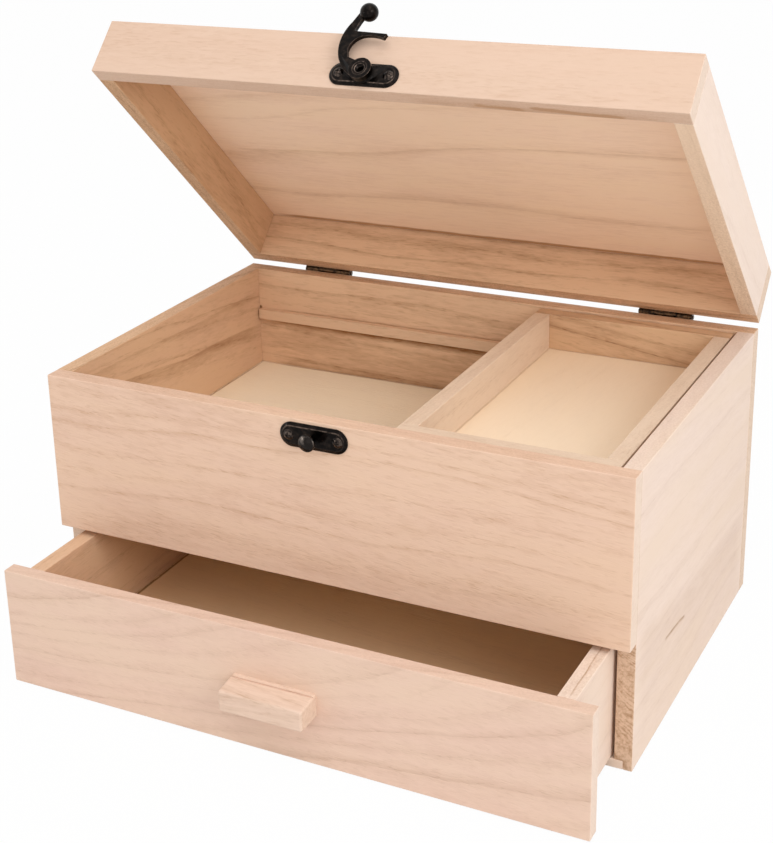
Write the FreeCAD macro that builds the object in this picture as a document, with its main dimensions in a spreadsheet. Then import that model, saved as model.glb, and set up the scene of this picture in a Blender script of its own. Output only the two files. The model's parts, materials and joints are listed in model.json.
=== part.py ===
import FreeCAD, Part

import os
import re

import Sketcher

# A wooden sewing box. A carcass with an open compartment on top and a drawer below, a hinged
# lid with a swing hook latch, and a small tray that slides on two ledges in the compartment.
# The origin is the middle of the underside, X to the right, Y to the back, Z up, in millimetres.
# The lid stands part open, the drawer part out and the hook up, as the box is shown for sale.

DRIVING = [
    # carcass
    ("box_width", 300.0),
    ("box_depth", 200.0),
    ("carcass_height", 147.0),
    ("side_panel", 8.5),
    ("front_panel", 8.5),
    ("back_panel", 8.5),
    ("bottom_board", 4.4),
    ("bottom_skin", 4.3),
    ("drawer_opening", 65.0),
    ("compartment_depth", 58.0),
    ("floor_ply", 4.0),
    ("groove_depth", 3.0),
    ("groove_play", 0.2),
    # ledges that carry the tray
    ("ledge_width", 3.5),
    ("ledge_height", 6.0),
    ("ledge_end_gap", 1.0),
    # tray
    ("tray_length", 104.9),
    ("tray_height", 22.6),
    ("tray_rim_drop", 1.1),
    ("tray_wall", 8.2),
    ("tray_ply", 3.2),
    ("tray_rabbet", 4.0),
    ("tray_end_gap", 1.6),
    ("tray_side_gap", 0.5),
    ("tray_seat_gap", 0.2),
    # lid
    ("lid_height", 29.5),
    ("lid_board", 8.5),
    ("lid_panel", 3.2),
    ("lid_rabbet", 4.2),
    ("lid_gap", 0.4),
    ("lid_open", 43.6),
    # drawer
    ("drawer_front_board", 7.8),
    ("drawer_height", 61.2),
    ("drawer_lift", 0.6),
    ("drawer_side_board", 8.3),
    ("drawer_side_gap", 1.7),
    ("drawer_back_board", 8.3),
    ("drawer_back_gap", 1.0),
    ("drawer_run", 0.3),
    ("drawer_ply", 3.0),
    ("drawer_ply_top", 13.2),
    ("drawer_groove", 3.0),
    ("drawer_out", 47.0),
    # drawer pull
    ("pull_length", 43.0),
    ("pull_reach", 14.0),
    ("pull_top", 37.8),
    ("pull_height", 11.8),
    ("pull_slope", 1.7),
    ("pull_under_slope", 0.4),
    ("pull_groove", 1.2),
    ("pull_groove_drop", 1.1),
    ("pull_groove_gap", 2.0),
    ("pull_round", 1.2),
    # hinges
    ("hinge_inset", 49.5),
    ("hinge_length", 28.6),
    ("axis_offset", 3.0),
    ("leaf_height", 11.0),
    ("leaf_thick", 1.1),
    ("leaf_corner", 2.0),
    ("knuckle_radius", 2.15),
    ("middle_knuckle", 11.6),
    ("knuckle_play", 0.2),
    ("curl_end", 229.0),
    ("curl_height", 3.4),
    ("curl_step", 0.4),
    ("pin_radius", 1.0),
    ("pin_clearance", 0.05),
    ("pin_end", 0.5),
    ("leaf_screw_spacing", 19.0),
    ("leaf_screw_drop", 7.4),
    # screws
    ("shank_radius", 1.0),
    ("hinge_shank", 6.6),
    ("hinge_head_radius", 1.9),
    ("hinge_head_height", 0.9),
    ("plate_shank", 7.0),
    ("plate_head_radius", 2.6),
    ("plate_head_height", 1.1),
    ("slot_length", 2.6),
    ("slot_width", 0.6),
    ("slot_depth", 0.5),
    # latch plates
    ("plate_length", 34.7),
    ("plate_height", 12.0),
    ("plate_thick", 1.4),
    ("plate_bevel", 1.6),
    ("plate_bevel_depth", 0.8),
    ("plate_screw_spacing", 25.2),
    ("latch_drop", 7.8),
    ("catch_x", -0.8),
    ("hook_x", -2.2),
    # catch stud
    ("neck_radius", 1.6),
    ("neck_length", 6.3),
    ("stud_head_radius", 4.2),
    ("stud_head_height", 2.8),
    ("stud_rim_height", 1.9),
    ("stud_rim_inset", 0.9),
    ("stud_under_inset", 0.7),
    # hook and its pivot
    ("hub_base_radius", 5.6),
    ("hub_top_radius", 4.6),
    ("hub_height", 1.6),
    ("hook_play", 0.2),
    ("hook_thick", 2.2),
    ("hook_clearance", 0.25),
    ("eye_radius", 5.5),
    ("eye_height", 2.9),
    ("eye_sink_radius", 3.6),
    ("eye_sink_depth", 1.5),
    ("rivet_radius", 2.0),
    ("rivet_clearance", 0.05),
    ("rivet_flare_gap", 0.15),
    ("rivet_dish", 1.1),
    ("rivet_bore_radius", 1.3),
    ("rivet_bore_depth", 2.6),
    # the hook's outline, each place as a side distance and a height from its pivot
    ("claw_thick", 2.0),
    ("hook_tip_angle", 21.0),
    ("hook_tip_thick", 2.7),
    ("heel_side", 3.6),
    ("heel_drop", 4.1),
    ("foot_bulge", 8.9),
    ("foot_side", 12.4),
    ("foot_height", 4.5),
    ("arm_outer", 14.8),
    ("arm_waist", 13.6),
    ("lever_left", 11.9),
    ("lever_root", 4.7),
    ("lever_tip_side", 9.0),
    ("lever_tip_rise", 2.2),
    ("lever_height", 29.4),
    ("lever_right", 7.4),
    ("lever_neck", 2.8),
    ("lever_hollow", 8.6),
    ("hollow_rise", 2.9),
    ("crotch_side", 9.3),
    ("throat_angle", 14.5),
    ("throat_side", 8.6),
    ("throat_height", 13.6),
    ("arm_inner", 9.5),
    ("arm_foot", 9.6),
    ("armpit_side", 8.3),
    ("armpit_height", 6.0),
    ("eye_join_side", 3.2),
    ("eye_join_height", 4.3),
    ("ball_radius", 4.3),
    ("ball_side", 4.4),
    ("ball_forward", 1.1),
]

# What follows from them. Heights are above the table, and y runs from the front to the back.
DERIVED = [
    ("half_width", "box_width / 2"),
    ("front", "-box_depth / 2"),
    ("back", "box_depth / 2"),
    ("inner_half", "half_width - side_panel"),
    ("inner_front", "front + front_panel"),
    ("inner_back", "back - back_panel"),
    ("inner_depth", "inner_back - inner_front"),
    ("floor_top", "carcass_height - compartment_depth"),
    ("floor_under", "floor_top - floor_ply"),
    ("tray_top", "carcass_height - tray_rim_drop"),
    ("tray_base", "tray_top - tray_height"),
    ("ledge_top", "tray_base - tray_seat_gap"),
    ("tray_right", "inner_half - tray_end_gap"),
    ("tray_left", "tray_right - tray_length"),
    ("tray_front", "inner_front + tray_side_gap"),
    ("tray_back", "inner_back - tray_side_gap"),
    ("rim", "carcass_height + lid_gap"),
    ("lid_top", "rim + lid_height"),
    ("lid_inner_front", "front + lid_board"),
    ("lid_inner_back", "back - lid_board"),
    ("lid_inner_half", "half_width - lid_board"),
    ("hinge_x", "half_width - hinge_inset"),
    ("axis_y", "back + axis_offset"),
    ("axis_z", "carcass_height + lid_gap / 2"),
    ("drawer_face", "front + drawer_front_board"),
    ("drawer_rear", "inner_back - drawer_back_gap"),
    ("drawer_half", "inner_half - drawer_side_gap"),
    ("drawer_inner_half", "drawer_half - drawer_side_board"),
    ("drawer_base", "bottom_board + drawer_run"),
    ("drawer_top", "drawer_lift + drawer_height"),
    ("drawer_ply_under", "drawer_ply_top - drawer_ply"),
    ("catch_z", "carcass_height - latch_drop"),
    ("hook_z", "rim + latch_drop"),
    ("plate_half", "plate_length / 2"),
    ("plate_round", "plate_height / 2"),
    ("plate_straight", "plate_half - plate_round"),
    ("hook_back", "plate_thick + hub_height + hook_play"),
    ("latch_reach", "sqrt((hook_z - catch_z)^2 + (catch_x - hook_x)^2)"),
    ("claw_inner", "latch_reach + neck_radius + hook_clearance"),
    ("claw_top", "claw_inner + claw_thick"),
    ("claw_tip", "claw_inner + hook_tip_thick"),
    ("middle_half", "middle_knuckle / 2"),
    ("knuckle_clear", "knuckle_radius + knuckle_play"),
    ("plate_pilot", "plate_shank - plate_thick"),
    ("leaf_pilot", "hinge_shank - leaf_thick"),
    ("eye_front", "hook_back + eye_height"),
    ("rivet_flare", "eye_sink_radius - rivet_flare_gap"),
    ("rivet_neck", "eye_front - eye_sink_depth + rivet_flare_gap"),
]

NAMES = {name for name, value in DRIVING + DERIVED}

TOUCH = 1e-4    # two points nearer than this are one

doc = FreeCAD.newDocument("sewing_box")
sheet = doc.addObject("Spreadsheet::Sheet", "Sizes")
nodes = []


def fill_sheet():
    for row, (name, value) in enumerate(DRIVING + DERIVED, start=1):
        sheet.set("A%d" % row, name)
        sheet.set("B%d" % row, str(value) if row <= len(DRIVING) else "=" + value)
        sheet.setAlias("B%d" % row, name)
    doc.recompute()


# A formula in the sheet's names, as the document's objects read it.
def formula(text):
    return re.sub(r"[a-z]+(?:_[a-z]+)*", lambda m: "Sizes." + m[0] if m[0] in NAMES else m[0], text)


def bind(thing, **formulas):
    for prop, text in formulas.items():
        thing.setExpression(prop, formula(text))


def place(thing, x="0", y="0", z="0"):
    for axis, text in zip("xyz", (x, y, z)):
        thing.setExpression("Placement.Base." + axis, formula(text))


def node(thing, label):
    thing.Label = label
    nodes.append(thing)
    return thing


def new_body(label):
    return node(doc.addObject("PartDesign::Body", label), label)


# A block or a cut in the shape of a block, from one corner and its three sizes.
def block(body, name, corner, size, cut=False):
    kind = "PartDesign::SubtractiveBox" if cut else "PartDesign::AdditiveBox"
    piece = body.newObject(kind, name)
    bind(piece, Length=size[0], Width=size[1], Height=size[2])
    place(piece, *corner)
    return piece


# A round bore from its centre towards the back, or to the right.
def bore(body, name, centre, radius, depth, along_x=False):
    hole = body.newObject("PartDesign::SubtractiveCylinder", name)
    bind(hole, Radius=radius, Height=depth)
    turn = "rotation(vector(0; 1; 0); 90)" if along_x else "rotation(vector(1; 0; 0); -90)"
    hole.setExpression("Placement", formula("placement(vector(%s; %s; %s); %s)" % (*centre, turn)))
    return hole


def board(label, corner, size):
    body = new_body(label)
    block(body, "blank", corner, size)
    return body


# A sketch on one of the body's own planes. The path lists its corners, each as two formulas, and
# a corner that ends an arc also names the two formulas of a point that the arc passes through.
def sketch_path(body, name, role, path):
    plane = [part for part in body.Origin.OriginFeatures if part.Role == role][0]
    sketch = body.newObject("Sketcher::SketchObject", name)
    sketch.AttachmentSupport = [(plane, "")]
    sketch.MapMode = "FlatFace"

    def point(pair):
        return FreeCAD.Vector(*(float(sheet.evalExpression(formula(text))) for text in pair), 0)

    def pin(index, position, pair):
        for kind, text, value in zip(("DistanceX", "DistanceY"), pair, point(pair)):
            rule = sketch.addConstraint(Sketcher.Constraint(kind, -1, 1, index, position, value))
            sketch.setExpression("Constraints[%d]" % rule, formula(text))

    ends = [point(corner[:2]) for corner in path]
    lines = []
    for start, end, corner in zip([ends[-1]] + ends[:-1], ends, path):
        if len(corner) == 2:
            lines.append((sketch.addGeometry(Part.LineSegment(start, end), False), 2))
            continue
        index = sketch.addGeometry(Part.Arc(start, point(corner[2:]), end), False)
        arc_end = 2 if sketch.getPoint(index, 2).distanceToPoint(end) < TOUCH else 1
        lines.append((index, arc_end))
        middle = sketch.addGeometry(Part.Point(point(corner[2:])), True)
        pin(middle, 1, corner[2:])
        sketch.addConstraint(Sketcher.Constraint("PointOnObject", middle, 1, index))
    for (before, end), (after, after_end), corner in zip(lines, lines[1:] + lines[:1], path):
        sketch.addConstraint(Sketcher.Constraint("Coincident", before, end, after, 3 - after_end))
        pin(before, end, corner[:2])
    return sketch


def pad(body, name, sketch, length, midplane=False, reverse=False):
    piece = body.newObject("PartDesign::Pad", name)
    piece.Profile = sketch
    piece.Midplane = midplane
    piece.Reversed = reverse
    bind(piece, Length=length)
    return piece


# A turned piece about the Y axis, from a half section with x as the radius.
def turned(body, name, path):
    sketch = sketch_path(body, name + "_section", "XY_Plane", path)
    piece = body.newObject("PartDesign::Revolution", name)
    piece.Profile = sketch
    piece.ReferenceAxis = (sketch, ["V_Axis"])
    piece.Angle = 360
    return piece


# Rounds or bevels the edges of the last feature that pass the test.
def dress(body, name, kind, base, test):
    doc.recompute()
    edges = enumerate(base.Shape.Edges, start=1)
    piece = body.newObject("PartDesign::" + kind, name)
    piece.Base = (base, ["Edge%d" % number for number, edge in edges if test(edge)])
    return piece


def size(name):
    return float(sheet.get(name))


def all_at(edge, axis, value):
    return all(abs(getattr(v, axis) - value) < TOUCH for v in edge.Vertexes)


LID_POSE = "placement(vector(0; 0; 0); rotation(vector(1; 0; 0); -lid_open); vector(0; axis_y; axis_z))"


def on_lid(thing):
    thing.setExpression("Placement", formula(LID_POSE))


# The front and back cover the ends of the sides. The sides and the back stand on the table, and
# the bottom board lies in a rabbet inside their lower edges.
def carcass():
    tall = ("side_panel", "inner_depth", "carcass_height")
    sides = (("left_side_panel", "-half_width", "-inner_half - groove_depth", "-half_width + bottom_skin"),
             ("right_side_panel", "inner_half", "inner_half", "inner_half"))
    for label, x, groove_x, rabbet_x in sides:
        panel = board(label, (x, "inner_front", "0"), tall)
        block(panel, "floor_groove", (groove_x, "inner_front", "floor_under"),
              ("groove_depth", "inner_depth", "floor_ply"), cut=True)
        block(panel, "bottom_rabbet", (rabbet_x, "inner_front", "0"),
              ("side_panel - bottom_skin", "inner_depth", "bottom_board"), cut=True)
    groove_size = ("2 * (inner_half + groove_depth)", "groove_depth", "floor_ply")
    front = board("upper_front_panel", ("-half_width", "front", "drawer_opening"),
                  ("box_width", "front_panel", "carcass_height - drawer_opening"))
    block(front, "floor_groove", ("-inner_half - groove_depth", "inner_front - groove_depth", "floor_under"),
          groove_size, cut=True)
    for side in (-1, 1):
        bore(front, "screw_hole", (plate_screw_x("catch_x", side), "front", "catch_z"),
             "shank_radius", "plate_pilot")
    rear = board("back_panel", ("-half_width", "inner_back", "0"),
                 ("box_width", "back_panel", "carcass_height"))
    block(rear, "floor_groove", ("-inner_half - groove_depth", "inner_back", "floor_under"),
          groove_size, cut=True)
    block(rear, "bottom_rabbet", ("-half_width + bottom_skin", "inner_back", "0"),
          ("box_width - 2 * bottom_skin", "back_panel - bottom_skin", "bottom_board"), cut=True)
    for x in leaf_screw_places():
        bore(rear, "screw_hole", (x, "back - leaf_pilot", "axis_z - leaf_screw_drop"),
             "shank_radius", "leaf_pilot")
    board("bottom_board", ("-half_width + bottom_skin", "inner_front", "0"),
          ("box_width - 2 * bottom_skin", "back - bottom_skin - inner_front", "bottom_board"))
    tongue = "groove_depth - groove_play"
    board("compartment_floor", ("-inner_half - (%s)" % tongue, "inner_front - (%s)" % tongue, "floor_under"),
          ("2 * (inner_half + %s)" % tongue, "inner_depth + 2 * (%s)" % tongue, "floor_ply"))


def tray_ledges():
    for label, y in (("tray_ledge_front", "inner_front"), ("tray_ledge_back", "inner_back - ledge_width")):
        board(label, ("-inner_half + ledge_end_gap", y, "ledge_top - ledge_height"),
              ("2 * (inner_half - ledge_end_gap)", "ledge_width", "ledge_height"))


# The tray's front and back run its whole length, the ends fit between them, and the plywood
# floor lies flush in a rabbet round the lower inner edge.
def tray():
    inside = "tray_back - tray_front - 2 * tray_wall"
    for label, y, rabbet_y in (("tray_front", "tray_front", "tray_front + tray_wall - tray_rabbet"),
                               ("tray_back", "tray_back - tray_wall", "tray_back - tray_wall")):
        wall = board(label, ("tray_left", y, "tray_base"), ("tray_length", "tray_wall", "tray_height"))
        block(wall, "floor_rabbet", ("tray_left + tray_wall - tray_rabbet", rabbet_y, "tray_base"),
              ("tray_length - 2 * (tray_wall - tray_rabbet)", "tray_rabbet", "tray_ply"), cut=True)
    for label, x, rabbet_x in (("tray_left_end", "tray_left", "tray_left + tray_wall - tray_rabbet"),
                               ("tray_right_end", "tray_right - tray_wall", "tray_right - tray_wall")):
        wall = board(label, (x, "tray_front + tray_wall", "tray_base"), ("tray_wall", inside, "tray_height"))
        block(wall, "floor_rabbet", (rabbet_x, "tray_front + tray_wall", "tray_base"),
              ("tray_rabbet", inside, "tray_ply"), cut=True)
    board("tray_floor",
          ("tray_left + tray_wall - tray_rabbet", "tray_front + tray_wall - tray_rabbet", "tray_base"),
          ("tray_length - 2 * (tray_wall - tray_rabbet)", inside + " + 2 * tray_rabbet", "tray_ply"))


# The lid is drawn shut and then turned open about its hinges. Its front and back run the whole
# width, and its top panel lies flush in a rabbet round the upper inner edge.
def lid():
    inside = "lid_inner_back - lid_inner_front"
    shelf = "lid_top - lid_panel"
    across = "2 * (lid_inner_half + lid_rabbet)"
    front = board("lid_front_board", ("-half_width", "front", "rim"),
                  ("box_width", "lid_board", "lid_height"))
    block(front, "top_rabbet", ("-lid_inner_half - lid_rabbet", "lid_inner_front - lid_rabbet", shelf),
          (across, "lid_rabbet", "lid_panel"), cut=True)
    for side in (-1, 1):
        bore(front, "screw_hole", (plate_screw_x("hook_x", side), "front", "hook_z"),
             "shank_radius", "plate_pilot")
    rear = board("lid_back_board", ("-half_width", "lid_inner_back", "rim"),
                 ("box_width", "lid_board", "lid_height"))
    block(rear, "top_rabbet", ("-lid_inner_half - lid_rabbet", "lid_inner_back", shelf),
          (across, "lid_rabbet", "lid_panel"), cut=True)
    for x in leaf_screw_places():
        bore(rear, "screw_hole", (x, "back - leaf_pilot", "axis_z + leaf_screw_drop"),
             "shank_radius", "leaf_pilot")
    pieces = [front, rear]
    for label, x, rabbet_x in (("lid_left_board", "-half_width", "-lid_inner_half - lid_rabbet"),
                               ("lid_right_board", "lid_inner_half", "lid_inner_half")):
        side = board(label, (x, "lid_inner_front", "rim"), ("lid_board", inside, "lid_height"))
        block(side, "top_rabbet", (rabbet_x, "lid_inner_front", shelf),
              ("lid_rabbet", inside, "lid_panel"), cut=True)
        pieces.append(side)
    pieces.append(board("lid_top_panel",
                        ("-lid_inner_half - lid_rabbet", "lid_inner_front - lid_rabbet", shelf),
                        (across, inside + " + 2 * lid_rabbet", "lid_panel")))
    for piece in pieces:
        on_lid(piece)


# The drawer is drawn shut and then pulled out. Its front covers the carcass edges, and its
# plywood bottom sits in a groove on all four sides.
def drawer():
    length = "drawer_rear - drawer_face"
    height = "drawer_top - drawer_base"
    face = board("drawer_front", ("-half_width", "front", "drawer_lift"),
                 ("box_width", "drawer_front_board", "drawer_height"))
    block(face, "bottom_groove",
          ("-drawer_inner_half - drawer_groove", "drawer_face - drawer_groove", "drawer_ply_under"),
          ("2 * (drawer_inner_half + drawer_groove)", "drawer_groove", "drawer_ply"), cut=True)
    pieces = [face]
    for label, x, groove_x in (("drawer_left_side", "-drawer_half", "-drawer_inner_half - drawer_groove"),
                               ("drawer_right_side", "drawer_inner_half", "drawer_inner_half")):
        side = board(label, (x, "drawer_face", "drawer_base"), ("drawer_side_board", length, height))
        block(side, "bottom_groove", (groove_x, "drawer_face", "drawer_ply_under"),
              ("drawer_groove", length, "drawer_ply"), cut=True)
        pieces.append(side)
    rear = board("drawer_back", ("-drawer_inner_half", "drawer_rear - drawer_back_board", "drawer_base"),
                 ("2 * drawer_inner_half", "drawer_back_board", height))
    block(rear, "bottom_groove",
          ("-drawer_inner_half", "drawer_rear - drawer_back_board", "drawer_ply_under"),
          ("2 * drawer_inner_half", "drawer_groove", "drawer_ply"), cut=True)
    pieces.append(rear)
    tongue = "drawer_groove - groove_play"
    corner = ("-drawer_inner_half - (%s)" % tongue, "drawer_face - (%s)" % tongue, "drawer_ply_under")
    bottom_depth = length + " - drawer_back_board + 2 * (%s)" % tongue
    pieces.append(board("drawer_bottom", corner,
                        ("2 * (drawer_inner_half + %s)" % tongue, bottom_depth, "drawer_ply")))
    pieces.append(drawer_pull())
    for piece in pieces:
        place(piece, y="-drawer_out")


# A rounded block glued to the drawer front, with a fine groove across its top.
def drawer_pull():
    body = new_body("drawer_pull")
    tip = "front - pull_reach"
    section = sketch_path(body, "section", "YZ_Plane", [
        ("front", "pull_top"),
        (tip, "pull_top - pull_slope"),
        (tip, "pull_top - pull_height - pull_under_slope"),
        ("front", "pull_top - pull_height")])
    bar = pad(body, "bar", section, "pull_length", midplane=True)
    rounds = dress(body, "rounds", "Fillet", bar, lambda edge: not all_at(edge, "Y", size("front")))
    bind(rounds, Radius="pull_round")
    block(body, "top_groove",
          ("-pull_length / 2", "front - pull_groove_gap - pull_groove", "pull_top - pull_groove_drop"),
          ("pull_length", "pull_groove", "pull_groove_drop"), cut=True)
    return body


def leaf_screw_places():
    return ["%d * hinge_x + %d * leaf_screw_spacing / 2" % (side, end)
            for side in (-1, 1) for end in (-1, 1)]


# One leaf is a strip that stands off the board at its end and curls round the pin. It is drawn
# about the pin's axis, down for the carcass and up for the lid.
def hinge_leaf(label, way, hole_radius):
    body = new_body(label)
    profile = sketch_path(body, "profile", "YZ_Plane", [
        ("-axis_offset", "%d * leaf_height" % way),
        ("-axis_offset", "%d * curl_height" % way),
        ("-knuckle_radius", "0"),
        ("knuckle_radius * cos(curl_end)", "%d * knuckle_radius * sin(curl_end)" % -way,
         "knuckle_radius", "0"),
        ("leaf_thick - axis_offset", "%d * (curl_height + curl_step)" % way),
        ("leaf_thick - axis_offset", "%d * leaf_height" % way)])
    strip = pad(body, "strip", profile, "hinge_length", midplane=True)
    far = way * size("leaf_height")
    corners = dress(body, "corners", "Fillet", strip,
                    lambda edge: all_at(edge, "Z", far) and edge.Vertexes[0].X * edge.Vertexes[-1].X > 0
                    and abs(edge.Vertexes[0].X - edge.Vertexes[-1].X) < TOUCH)
    bind(corners, Radius="leaf_corner")
    across = ("-axis_offset - leaf_thick", "axis_offset + knuckle_radius + 2 * leaf_thick")
    if way < 0:
        block(body, "knuckle_gap", ("-middle_half - knuckle_play", across[0], "-knuckle_clear"),
              ("2 * (middle_half + knuckle_play)", across[1], "2 * knuckle_clear"), cut=True)
    else:
        for x in ("-hinge_length / 2", "middle_half"):
            block(body, "knuckle_gap", (x, across[0], "-knuckle_clear"),
                  ("hinge_length / 2 - middle_half", across[1], "2 * knuckle_clear"), cut=True)
    bore(body, "pin_hole", ("-hinge_length / 2", "0", "0"), hole_radius, "hinge_length", along_x=True)
    for end in (-1, 1):
        bore(body, "screw_hole",
             ("%d * leaf_screw_spacing / 2" % end, "-axis_offset", "%d * leaf_screw_drop" % way),
             "shank_radius", "leaf_thick")
    return body


def hinges():
    for side, sign in (("left", "-"), ("right", "")):
        x = sign + "hinge_x"
        lower = hinge_leaf(side + "_hinge_lower_leaf", -1, "pin_radius")
        place(lower, x, "axis_y", "axis_z")
        pin = new_body(side + "_hinge_pin")
        rod = pin.newObject("PartDesign::AdditiveCylinder", "rod")
        bind(rod, Radius="pin_radius", Height="hinge_length + 2 * pin_end")
        rod.Placement.Rotation = FreeCAD.Rotation(FreeCAD.Vector(0, 1, 0), 90)
        place(rod, "-hinge_length / 2 - pin_end")
        place(pin, x, "axis_y", "axis_z")
        upper = hinge_leaf(side + "_hinge_upper_leaf", 1, "pin_radius + pin_clearance")
        where = "placement(vector(%s; axis_y; axis_z); rotation(vector(1; 0; 0); -lid_open))" % x
        upper.setExpression("Placement", formula(where))
    for label, way in (("hinge_lower_screws", "-"), ("hinge_upper_screws", "+")):
        spots = [(x, "back + leaf_thick", "axis_z %s leaf_screw_drop" % way) for x in leaf_screw_places()]
        group = screw_group(label, hinge_screw, spots, 180)
        if way == "+":
            on_lid(group)


# The middle of a shallow dome's arc, at half its radius, with the dome's foot at y = base.
def dome_middle(radius, height, base="0"):
    ball = "((%s)^2 + (%s)^2) / (2 * (%s))" % (radius, height, height)
    drop = "%s - (%s) - sqrt((%s)^2 - (%s)^2 / 4)" % (ball, height, ball, radius)
    return "(%s) / 2" % radius, "%s + %s" % (base, drop)


# A round-head screw with a cross recess. The head's underside is at y = 0 and the tip points back.
def screw(label, head_radius, head_height, shank):
    body = doc.addObject("PartDesign::Body", label)
    turned(body, "turning", [
        ("0", "-" + head_height),
        (head_radius, "0") + dome_middle(head_radius, head_height),
        ("shank_radius", "0"),
        ("shank_radius", shank + " - shank_radius"),
        ("0", shank)])
    for name, wide, high in (("slot", "slot_length", "slot_width"),
                             ("cross_slot", "slot_width", "slot_length")):
        block(body, name, ("-%s / 2" % wide, "-" + head_height, "-%s / 2" % high),
              (wide, "slot_depth", high), cut=True)
    return body


def screw_group(label, model, spots, turn=0):
    screws = []
    for x, y, z in spots:
        copy = doc.addObject("App::Link", label + "_one")
        copy.LinkedObject = model
        where = "placement(vector(%s; %s; %s); rotation(vector(0; 0; 1); %d))" % (x, y, z, turn)
        copy.setExpression("Placement", formula(where))
        screws.append(copy)
    group = doc.addObject("Part::Compound", label)
    group.Links = screws
    return node(group, label)


def plate_screw_x(middle, side):
    return "%s + %d * plate_screw_spacing / 2" % (middle, side)


# A bevelled plate with round ends, drawn about its middle with its back at y = 0.
def latch_plate(label, middle_hole):
    body = new_body(label)
    outline = sketch_path(body, "outline", "XZ_Plane", [
        ("-plate_straight", "-plate_round", "-plate_half", "0"),
        ("plate_straight", "-plate_round"),
        ("plate_straight", "plate_round", "plate_half", "0"),
        ("-plate_straight", "plate_round")])
    sheet_metal = pad(body, "plate", outline, "plate_thick")
    bevel = dress(body, "bevel", "Chamfer", sheet_metal, lambda edge: all_at(edge, "Y", -size("plate_thick")))
    bevel.ChamferType = "Two distances"
    bind(bevel, Size="plate_bevel_depth", Size2="plate_bevel")
    if label == "hook_plate":
        hub = body.newObject("PartDesign::AdditiveCone", "hub")
        bind(hub, Radius1="hub_base_radius", Radius2="hub_top_radius", Height="hub_height")
        hub.Placement.Rotation = FreeCAD.Rotation(FreeCAD.Vector(1, 0, 0), 90)
        place(hub, y="-plate_thick")
    bore(body, "middle_hole", ("0", "-plate_thick - hub_height", "0"),
         middle_hole, "plate_thick + hub_height")
    for side in (-1, 1):
        bore(body, "screw_hole", (plate_screw_x("0", side), "-plate_thick", "0"),
             "shank_radius", "plate_thick")
    return body


# The catch on the front panel: a plate, two screws and a mushroom stud with a narrow neck.
def catch():
    place(latch_plate("catch_plate", "neck_radius"), "catch_x", "front", "catch_z")
    stud = new_body("catch_stud")
    under = "-neck_length"
    dome_foot = "-neck_length - stud_rim_height"
    dome_radius = "stud_head_radius - stud_rim_inset"
    dome_height = "stud_head_height - stud_rim_height"
    turned(stud, "turning", [
        ("0", "0"),
        ("neck_radius", "0"),
        ("neck_radius", under),
        ("stud_head_radius - stud_under_inset", under),
        (dome_radius, dome_foot, "stud_head_radius", under + " - stud_rim_height / 2"),
        ("0", under + " - stud_head_height") + dome_middle(dome_radius, dome_height, dome_foot)])
    place(stud, "catch_x", "front", "catch_z")
    spots = [(plate_screw_x("catch_x", side), "front - plate_thick", "catch_z") for side in (-1, 1)]
    screw_group("catch_screws", latch_screw, spots)


# The hook swings on a flared rivet through its plate on the lid.
def hook_mount():
    on_hook = "%s * placement(vector(hook_x; front; hook_z); rotation(vector(1; 0; 0); 0))" % LID_POSE
    plate = latch_plate("hook_plate", "rivet_radius")
    rivet = new_body("hook_rivet")
    turned(rivet, "turning", [
        ("0", "0"),
        ("rivet_radius", "0"),
        ("rivet_radius", "-rivet_neck"),
        ("rivet_flare", "-eye_front"),
        ("rivet_bore_radius + rivet_dish", "-eye_front"),
        ("rivet_bore_radius", "rivet_dish - eye_front"),
        ("rivet_bore_radius", "rivet_bore_depth - eye_front"),
        ("0", "rivet_bore_depth - eye_front")])
    for thing in (plate, rivet, swing_hook()):
        thing.setExpression("Placement", formula(on_hook))
    spots = [(plate_screw_x("hook_x", side), "front - plate_thick", "hook_z") for side in (-1, 1)]
    on_lid(screw_group("hook_plate_screws", latch_screw, spots))


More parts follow.
